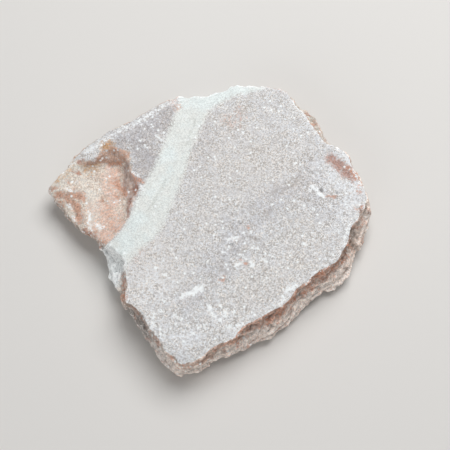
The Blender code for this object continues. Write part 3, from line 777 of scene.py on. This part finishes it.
class Grain:
    """The noises that the whole stone shares, so that its colours break up along one grain."""

    def __init__(self, shader, size):
        cell, self.hue, self.heart = shader.grains(size / MM)
        self.fine = (cell - 0.5) * 0.5
        self.crystal = self.fine * 2.7 + 0.5
        self.fray = shader.fray(1.3, shift=61.0, roughness=0.8) + self.fine
        self.other = shader.fray(0.8, shift=83.0, roughness=0.85) - self.fine
        self.broad = shader.fray(3.0, shift=97.0, roughness=0.75)
        chance, _, middle = shader.grains(2.3)
        self.speck = chance.step(0.45, 0.5) * middle.step(0.24, 0.1)


def rock_colour(shader, colours, grain):
    """The sugary rock of the top face: pale grains, tan between them, and broad faint blotches."""
    crystal = shader.mix(grain.hue, colours.crystal, colours.crystal_blue)
    rock = shader.mix(grain.crystal.step(-0.25, 1.05), colours.between, crystal)
    rock = shader.mix(grain.broad.step(0.2, 1.0) * 0.5, rock, colours.cool)
    drift = shader.cloud(9.0, shift=3.0, roughness=0.55).step(0.35, 0.65)
    rock = shader.mix(drift * 0.5, rock, colours.warm, "MULTIPLY")
    # The tan and mauve tints are the rock's own tone; the grey tint paints faint shade
    for name, tint in (("tan", colours.tan), ("grey", colours.grey), ("mauve", colours.mauve)):
        cover = shader.mark(name) + (grain.broad - 0.5) * 0.5 * shader.mark(name)
        rock = shader.mix(cover, rock, tint, "MULTIPLY")
    rock = shader.laid(
        rock, colours.grey, shader.mark("mauve") * 0.5, grain.fray, strength=0.8, edge=0.3,
        blend="MULTIPLY",
    )
    # Darker grains in streaks, in part painted faint shade
    dark_streak = shader.mark("dark_streak") * 0.6
    rock = shader.laid(rock, colours.pore, dark_streak, grain.fray, strength=0.6, edge=0.4)
    flecked = shader.mark("flecked")
    pores = flecked * 0.18 + 0.04
    rock = shader.laid(rock, colours.pore, pores, 1 - grain.other, strength=0.5, edge=0.2)
    pale = shader.mark("bright") * 0.5 + pores
    patches = grain.other * 0.7 + grain.broad * 0.3
    rock = shader.laid(rock, colours.bright, pale, patches, strength=0.8, edge=0.25)
    return shader.shade(rock, 1 + grain.fine * (flecked * 0.55 + 0.1))


def vein_colour(shader, colours, grain):
    """The waxy vein: creamy, with bluish white patches and a few faint cracks."""
    clouds = shader.cloud(4.0, shift=31.0, roughness=0.6) - 0.5
    icy = (shader.mark("icy") * 0.7 + clouds * 1.4 + grain.hue * 0.5).step(0.0, 1.0)
    vein = shader.mix(icy, colours.vein_border, colours.vein_middle)
    vein = shader.mix(shader.mark("groove") * 0.25, vein, colours.vein_groove)
    patches = grain.broad * 0.5 + grain.other * 0.5
    vein = shader.laid(vein, colours.bruise, 0.24, patches, strength=0.55, edge=0.3)
    vein = shader.mix(shader.mark("flank") * 0.8, vein, colours.bruise)
    return shader.shade(vein, 0.97 + grain.fine * 0.75)


def scoop_colour(shader, colours, grain):
    """The scoop: cream floor, peach towards the vein, brown and grey walls, all in grains."""
    floor = shader.mix(grain.crystal.step(-0.5, 1.2), colours.scoop_tan, colours.scoop_cream)
    peach = shader.mark("peach")
    cream = shader.mark("cream")
    for tint, cover, fray, strength, edge in (
        (colours.peach, peach * 0.8 + 0.14, grain.broad, 0.8, 0.35),
        (colours.orange, peach * 0.5 + 0.12, grain.fray, 0.65, 0.5),
        (colours.cream, cream * 0.8, grain.broad, 0.7, 0.4),
    ):
        floor = shader.laid(floor, tint, cover, fray, strength, edge)
    for name, tint, fray, full in (
        ("wall_back", colours.wall_back, grain.fray, 0.9),
        ("wall_right", colours.wall_right, grain.other, 0.8),
    ):
        wall = shader.mix(fray.step(-0.1, full), colours.wall_dark, tint)
        cover = shader.mark(name) * 0.95
        floor = shader.laid(floor, wall, cover, grain.broad, strength=1.0, edge=0.4)
    floor = shader.laid(floor, colours.bright, 0.24, grain.other, strength=0.75, edge=0.2)
    return shader.shade(floor, 0.90 + grain.fine * 0.9)


def flank_colour(shader, colours, grain):
    """The flanks: brown under the rim and paler below, with layers whose creases are darkened as painted
    shade, rust and pale crumbs.
    """
    height = Value(shader, shader.node("ShaderNodeSeparateXYZ", {}, {0: shader.place}).outputs["Z"])
    wander = shader.cloud(3.0, shift=53.0, detail=4.0) - 0.5
    low = (height + wander * 10.0).step(8.8, 5.8)
    flank = shader.mix(low, shader.mark_colour("flank_high"), shader.mark_colour("flank_low"))
    layers = shader.cloud(1.3, shift=57.0, squeeze=(5.0, 5.0, 0.8))
    # Bands along the layers; the darker ones are painted shade in the creases between them
    flank = shader.shade(flank, 0.76 + layers.step(0.36, 0.60) * 0.42)
    for tint, cover, fray, strength, edge in (
        (colours.rust_dark, 0.46 - low * 0.2, grain.broad, 0.7, 0.25),
        (colours.flank_grey, 0.30 - low * 0.16, grain.fray, 0.8, 0.2),
        (colours.crumb, 0.26 + low * 0.22, grain.other, 0.9, 0.15),
    ):
        flank = shader.laid(flank, tint, cover, fray, strength, edge)
    return shader.shade(flank, 0.74 + grain.crystal * 0.52)


def stain(shader, colours, grain, colour):
    """The ochre, brown and rust-red stains, laid over everything in specks."""
    for name, tint, strength in (
        ("ochre", colours.ochre, 0.8),
        ("brown", colours.brown, 0.8),
        ("rust", colours.rust, 0.75),
    ):
        speckled = shader.shade(tint[:3], 1 + grain.fine * 1.6)
        colour = shader.laid(colour, speckled, shader.mark(name), grain.fray, strength, edge=0.3)
    return colour


def bruise(shader, colours, grain, colour, on_flank):
    """What is crushed white: the marks, the bevel, the rim and single grains everywhere."""
    chipped = shader.mark("fringe") * (1 - on_flank) * 0.9
    bruised = (shader.mark("white") * 0.9).most(shader.mark("bevel") * 0.6).most(chipped)
    bruised = bruised + shader.mark("flecked") * 0.07 + 0.04
    colour = shader.laid(colour, colours.bruise, bruised, grain.other, strength=0.85, edge=0.14)
    return shader.mix(grain.speck * 0.85, colour, colours.bruise)


def stone_material(colours, sizes):
    """The whole stone's finish: the rock, with the vein, the scoop, the flanks and the stains."""
    shader = Shader("raw_aragonite")
    grain = Grain(shader, sizes.grain)
    edge = grain.fray - 0.5
    colour = rock_colour(shader, colours, grain)
    in_vein = (shader.mark("vein") + edge * 1.2).step(-1.2, 1.0)
    colour = shader.mix(in_vein, colour, vein_colour(shader, colours, grain))
    in_scoop = (shader.mark("scoop") + edge * 0.6).step(-0.4, 0.4)
    colour = shader.mix(in_scoop, colour, scoop_colour(shader, colours, grain))
    on_flank = (shader.mark("flank") + edge * 0.3).step(0.3, 0.65)
    waxy = in_vein * (1 - in_scoop)
    colour = shader.mix(on_flank * (1 - waxy * 0.92), colour, flank_colour(shader, colours, grain))
    colour = stain(shader, colours, grain, colour)
    colour = bruise(shader, colours, grain, colour, on_flank)
    # The pits' bottoms darkened: painted shade in holes too small for the mesh to show
    colour = shader.mix(shader.mark("pit") * 0.8, colour, colours.pit)
    # Ridges lighter, as wear and painted highlight; hollows darker
    colour = shader.shade(colour, 1 + shader.mark("wear_and_highlight") * 1.6)
    shader.plug(shader.surface.inputs["Base Color"], colour)
    shader.plug(shader.surface.inputs["Roughness"], 0.84 - waxy * 0.3 + (grain.crystal - 0.5) * 0.1)
    shader.surface.inputs["Specular IOR Level"].default_value = 0.35
    relief = grain.crystal * 0.015 - grain.heart * 0.02 + grain.fray * 0.01
    relief = relief * (1 - waxy * 0.55) + shader.mark("white") * 0.05
    bump = shader.node("ShaderNodeBump", {}, {"Strength": 1.0, "Distance": MM, "Height": relief})
    shader.plug(shader.surface.inputs["Normal"], bump.outputs[0])
    return shader.material


def length_property(name, description, default):
    return FloatProperty(
        name=name, description=description, default=default, min=0.0, precision=5, unit="LENGTH"
    )


def colour_property(name, description, colour):
    return FloatVectorProperty(
        name=name, description=description, default=opaque(colour), size=4, min=0.0, max=1.0,
        subtype="COLOR",
    )


class AragoniteSizes(bpy.types.PropertyGroup):
    facet: length_property("Facet", "Size of the fine mesh's facets", 0.00046)
    smoothing: IntProperty(
        name="Smoothing", description="Rounds that even out the blocked-out shape", default=4, min=0
    )
    layer_step: length_property("Layer step", "Height of the layers on the flanks", 0.00045)
    crumb: length_property("Crumb", "Height of the crumbs on broken faces", 0.00035)
    facet_tilt: FloatProperty(
        name="Facet tilt", description="Slope of the broken facets on the flanks", default=0.55
    )
    swell: length_property("Swell", "Height of the top face's unevenness", 0.00012)
    chip: length_property("Chip", "Depth of the chips along the rim", 0.0005)
    groove: length_property("Groove", "Depth of the vein's cracks", 0.00011)
    pit: length_property("Pit", "Depth of the pit", 0.0007)
    grain: length_property("Grain", "Size of the rock's sugary grains", 0.00026)


class AragoniteColours(bpy.types.PropertyGroup):
    crystal: colour_property("Crystal", "The rock's pale grains, at their warmest", (241, 235, 229))
    crystal_blue: colour_property("Blue crystal", "Its pale grains, at their coldest", (228, 235, 242))
    between: colour_property("Between", "What lies between the grains", (164, 157, 152))
    pore: colour_property("Pore", "Small dark pores", (150, 140, 134))
    cool: colour_property("Cool", "Cooler, cloudy patches of the rock", (212, 214, 219))
    warm: colour_property("Warm tint", "Tint of the warmer blotches", (255, 253, 250))
    tan: colour_property("Tan tint", "Tint of the tan blotches", (255, 252, 249))
    # The grey tint paints faint shade on the top face; it also greys grains left of the vein
    grey: colour_property("Grey tint", "Tint of the greyer blotches", (238, 238, 241))
    mauve: colour_property("Mauve tint", "Tint of the ground left of the vein", (231, 228, 228))
    bright: colour_property("Bright", "Paler grains near the rims", (238, 241, 245))
    bruise: colour_property("Bruise", "Crushed white spots and rims", (250, 254, 255))
    # The pit's colour is painted shade at its bottom
    pit: colour_property("Pit", "Bottom of the pit", (150, 147, 146))
    vein_middle: colour_property("Vein middle", "Bluish white heart of the vein", (226, 234, 233))
    vein_border: colour_property("Vein border", "Creamy borders of the vein", (225, 227, 223))
    vein_groove: colour_property("Vein cracks", "Cracks in the vein", (196, 200, 192))
    scoop_cream: colour_property("Scoop cream", "Pale grains of the scoop's floor", (236, 230, 219))
    scoop_tan: colour_property("Scoop tan", "Between the scoop's grains", (204, 178, 160))
    cream: colour_property("Cream", "Yellowish cream patches of the scoop", (236, 232, 222))
    peach: colour_property("Peach", "Peach ground towards the vein", (240, 212, 198))
    orange: colour_property("Orange", "Orange grains in the scoop", (222, 172, 146))
    wall_back: colour_property("Back wall", "Brown back wall of the scoop", (214, 178, 158))
    wall_right: colour_property("Right wall", "Grey-brown right wall of the scoop", (206, 188, 180))
    wall_dark: colour_property("Dark wall", "Darkest parts of the walls", (186, 154, 138))
    ochre: colour_property("Ochre", "Ochre stains", (188, 150, 112))
    brown: colour_property("Brown", "Brown stained ground", (166, 120, 104))
    rust: colour_property("Rust", "Rust-red stains", (188, 138, 114))
    rust_dark: colour_property("Dark rust", "Rust in the flanks", (186, 124, 96))
    flank_grey: colour_property("Flank grey", "Grey grains in the flanks", (140, 130, 123))
    crumb: colour_property("Crumb", "Pale crumbs in the flanks", (246, 238, 232))


class AragoniteStage(bpy.types.PropertyGroup):
    floor: colour_property("Floor", "Colour of the floor", (222, 220, 217))
    key_power: FloatProperty(name="Key power", description="Watts of the soft key light", default=4.3)
    key_size: length_property("Key size", "Width of the soft key light", 0.5)
    front_power: FloatProperty(
        name="Front power", description="Watts of the weak light over the front", default=1.4
    )
    front_size: length_property("Front size", "Width of the weak light over the front", 0.6)
    fill: FloatProperty(name="Fill", description="Strength of the light all round", default=0.22)
    distance: length_property("Distance", "From the camera to the middle of its view", 0.4095)
    elevation: FloatProperty(
        name="Elevation", description="Height of the camera above the horizon",
        default=math.radians(66.0), subtype="ANGLE",
    )


class ARAGONITE_OT_stone(bpy.types.Operator):
    """Makes the slab with its fine relief and its finish"""

    bl_idname = "aragonite.stone"
    bl_label = "Make the stone"

    def execute(self, context):
        sizes = context.scene.aragonite_sizes
        noise.seed_set(SEED)
        mesh = fine_copy(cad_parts[NODE], sizes.facet)
        surface = Surface(mesh)
        surface.even_out(sizes.smoothing)
        marks = mark(surface)
        carve(surface, marks, sizes)
        # How far each point stands proud, for wear and painted highlight on ridges and darker hollows
        marks["wear_and_highlight"] = surface.bulge(WEAR_AND_HIGHLIGHT_ROUNDS)
        for name, values in marks.items():
            surface.note(name, values)
        flank_colours(surface)
        material = stone_material(context.scene.aragonite_colours, sizes)
        place_piece(mesh, "aragonite_stone", material)
        return {"FINISHED"}


class ARAGONITE_OT_stage(bpy.types.Operator):
    """Makes the pale floor, the soft lights and the camera"""

    bl_idname = "aragonite.stage"
    bl_label = "Make the stage"

    def execute(self, context):
        stage = context.scene.aragonite_stage
        make_floor(stage)
        make_lights(context.scene, stage)
        make_camera(context.scene, stage)
        context.scene.view_settings.view_transform = "Standard"
        return {"FINISHED"}


def make_floor(stage):
    shader = Shader("pale_floor")
    shader.plug(shader.surface.inputs["Base Color"], stage.floor)
    shader.surface.inputs["Roughness"].default_value = 0.9
    mesh = bpy.data.meshes.new("floor")
    signs = ((-1, -1), (1, -1), (1, 1), (-1, 1))
    corners = [(x * FLOOR_HALF, y * FLOOR_HALF, -FLOOR_GAP) for x, y in signs]
    mesh.from_pydata(corners, [], [(0, 1, 2, 3)])
    mesh.materials.append(shader.material)
    floor = bpy.data.objects.new("floor", mesh)
    bpy.context.collection.objects.link(floor)


def aim(obj, target):
    obj.rotation_euler = (target - obj.location).to_track_quat("-Z", "Y").to_euler()


def make_lamp(name, power, size, place):
    light = bpy.data.lights.new(name, "AREA")
    light.energy = power
    light.size = size
    lamp = bpy.data.objects.new(name, light)
    lamp.location = place
    bpy.context.collection.objects.link(lamp)
    aim(lamp, Vector((0.0, 0.0, 0.0)))


def make_lights(scene, stage):
    make_lamp("key", stage.key_power, stage.key_size, KEY_PLACE)
    make_lamp("front", stage.front_power, stage.front_size, FRONT_PLACE)
    world = bpy.data.worlds.new("soft_fill")
    world.use_nodes = True
    backdrop = world.node_tree.nodes["Background"]
    backdrop.inputs["Color"].default_value = (1.0, 1.0, 1.0, 1.0)
    backdrop.inputs["Strength"].default_value = stage.fill
    scene.world = world


def make_camera(scene, stage):
    lens = bpy.data.cameras.new("camera")
    lens.lens = LENS
    lens.clip_start = NEAREST_SEEN
    camera = bpy.data.objects.new("camera", lens)
    bpy.context.collection.objects.link(camera)
    target = Vector((-CENTRE_X, -CENTRE_Y, TOP_LEVEL)) * MM
    back = Vector((0.0, -math.cos(stage.elevation), math.sin(stage.elevation)))
    camera.location = target + back * stage.distance
    aim(camera, target)
    scene.camera = camera


class ARAGONITE_PT_panel(bpy.types.Panel):
    """Every value of the stone and its stage, and what makes them"""

    bl_idname = "ARAGONITE_PT_panel"
    bl_label = "Raw Aragonite"
    bl_space_type = "VIEW_3D"
    bl_region_type = "UI"
    bl_category = "Aragonite"

    def draw(self, context):
        layout = self.layout
        for group in GROUPS:
            box = layout.box()
            values = getattr(context.scene, group)
            for name in GROUPS[group].__annotations__:
                box.prop(values, name)
        for operator in OPERATORS:
            layout.operator(operator.bl_idname)


GROUPS = {
    "aragonite_sizes": AragoniteSizes,
    "aragonite_colours": AragoniteColours,
    "aragonite_stage": AragoniteStage,
}
OPERATORS = (ARAGONITE_OT_stone, ARAGONITE_OT_stage)


def register():
    for group in (*GROUPS.values(), *OPERATORS, ARAGONITE_PT_panel):
        bpy.utils.register_class(group)
    for name, group in GROUPS.items():
        setattr(bpy.types.Scene, name, PointerProperty(type=group))


def unregister():
    for name in GROUPS:
        delattr(bpy.types.Scene, name)
    for group in (ARAGONITE_PT_panel, *reversed(OPERATORS), *GROUPS.values()):
        bpy.utils.unregister_class(group)


def main():
    register()
    bpy.ops.aragonite.stone()
    bpy.ops.aragonite.stage()


if __name__ == "__main__":
    main()
